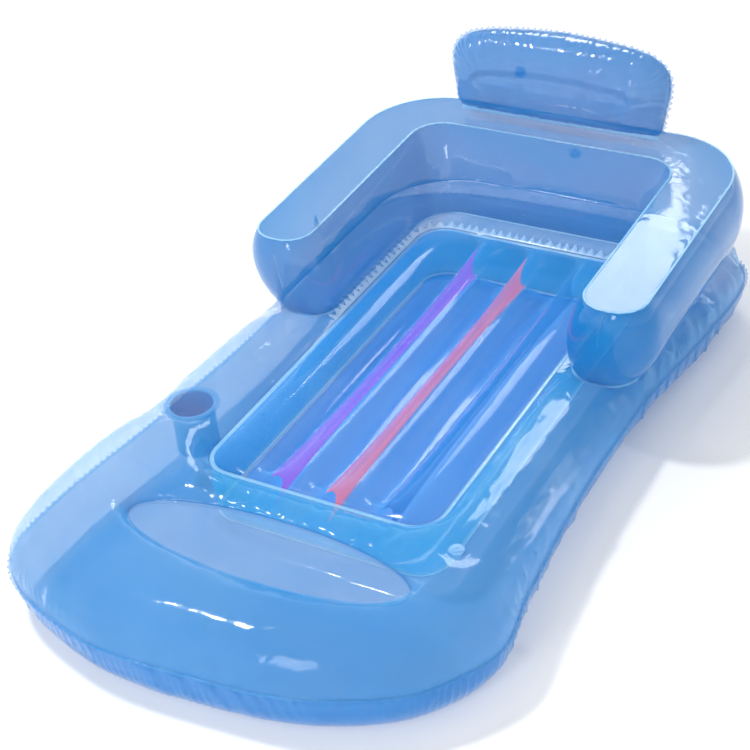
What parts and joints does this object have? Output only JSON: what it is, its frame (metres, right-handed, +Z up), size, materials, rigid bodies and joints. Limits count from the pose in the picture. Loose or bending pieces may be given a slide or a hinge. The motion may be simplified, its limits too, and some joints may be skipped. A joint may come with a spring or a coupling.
{
  "type": "inflatable pool float",
  "caption": "Inflatable pool lounger with a U-shaped backrest and arms, a pillow headrest, a cup well and a ribbed see-through floor.",
  "frame": {"origin": "centre of the footprint, on the surface the lounger lies on", "axes": "+X across to the sitter's left, +Y along the lounger toward the headrest, +Z up"},
  "size_m": [0.9304, 1.6006, 0.5659],
  "materials": {
    "clear_film": "clear glossy vinyl film with a pale blue cast",
    "blue_film": "see-through blue glossy vinyl film",
    "turquoise_film": "see-through turquoise glossy vinyl film",
    "violet_film": "see-through violet vinyl film",
    "coral_film": "see-through coral vinyl film",
    "indigo_film": "see-through deep blue vinyl film",
    "weld": "high-frequency weld, doubled film pressed flat",
    "valve_vinyl": "soft moulded clear vinyl"
  },
  "bodies": {
    "float": {"base_top_sheet": "clear_film", "floor_top_sheet": "clear_film", "backrest_top_panel": "clear_film", "heel_rest_panel": "clear_film", "base_bottom_sheet": "blue_film", "backrest_inner_wall": "blue_film", "backrest_outer_wall": "blue_film", "floor_bottom_sheet": "blue_film", "heel_rest_wall": "blue_film", "cup_wall": "blue_film", "cup_floor": "blue_film", "well_wall": "turquoise_film", "floor_web_violet": "violet_film", "floor_web_coral": "coral_film", "floor_web_blue": "indigo_film", "base_seam_weld": "weld", "well_top_weld": "weld", "well_bottom_weld": "weld", "cup_rim_weld": "weld", "backrest_top_weld": "weld", "backrest_root_weld": "weld", "seat_rim_flange": "weld", "headrest_root_weld": "weld", "base_valve_flange": "valve_vinyl", "backrest_valve_flange": "valve_vinyl"},
    "headrest": {"headrest_front_sheet": "blue_film", "headrest_back_sheet": "blue_film", "headrest_seam_weld": "weld", "headrest_valve_flange": "valve_vinyl"},
    "base_stem": {"base_valve_stem": "valve_vinyl"},
    "base_plug": {"base_valve_plug": "valve_vinyl"},
    "base_flap": {"base_valve_flap": "valve_vinyl"},
    "backrest_stem": {"backrest_valve_stem": "valve_vinyl"},
    "backrest_plug": {"backrest_valve_plug": "valve_vinyl"},
    "backrest_flap": {"backrest_valve_flap": "valve_vinyl"},
    "headrest_stem": {"headrest_valve_stem": "valve_vinyl"},
    "headrest_plug": {"headrest_valve_plug": "valve_vinyl"},
    "headrest_flap": {"headrest_valve_flap": "valve_vinyl"}
  },
  "joints": [
    {"name": "headrest_nod", "type": "hinge", "parent": "float", "child": "headrest", "pos_m": [0, 0.702, 0.366], "axis": [1, 0, 0], "range_deg": [-13, 10], "stiffness_Nm_per_rad": 2},
    {"name": "base_valve_pull", "type": "slide", "parent": "float", "child": "base_stem", "axis": [0, 0, 1], "range_m": [0, 0.012]},
    {"name": "base_plug_open", "type": "hinge", "parent": "base_stem", "child": "base_plug", "pos_m": [0.334, -0.44, 0.19345], "axis": [0, 1, 0], "range_deg": [0, 110]},
    {"name": "base_flap_open", "type": "hinge", "parent": "base_stem", "child": "base_flap", "pos_m": [0.3156, -0.44, 0.1767], "axis": [0, 1, 0], "range_deg": [0, 45], "stiffness_Nm_per_rad": 0.0005},
    {"name": "backrest_valve_pull", "type": "slide", "parent": "float", "child": "backrest_stem", "axis": [0, 1, 0], "range_m": [0, 0.012]},
    {"name": "backrest_plug_open", "type": "hinge", "parent": "backrest_stem", "child": "backrest_plug", "pos_m": [0.012, 0.78945, 0.24865], "axis": [0, 0, -1], "range_deg": [0, 110]},
    {"name": "backrest_flap_open", "type": "hinge", "parent": "backrest_stem", "child": "backrest_flap", "pos_m": [-0.0064, 0.7727, 0.24865], "axis": [0, 0, -1], "range_deg": [0, 45], "stiffness_Nm_per_rad": 0.0005},
    {"name": "headrest_valve_pull", "type": "slide", "parent": "headrest", "child": "headrest_stem", "axis": [0, 0.9925, -0.1219], "range_m": [0, 0.012]},
    {"name": "headrest_plug_open", "type": "hinge", "parent": "headrest_stem", "child": "headrest_plug", "pos_m": [-0.108, 0.77549, 0.4328], "axis": [0, -0.1219, -0.9925], "range_deg": [0, 110]},
    {"name": "headrest_flap_open", "type": "hinge", "parent": "headrest_stem", "child": "headrest_flap", "pos_m": [-0.1264, 0.75887, 0.43484], "axis": [0, -0.1219, -0.9925], "range_deg": [0, 45], "stiffness_Nm_per_rad": 0.0005}
  ]
}
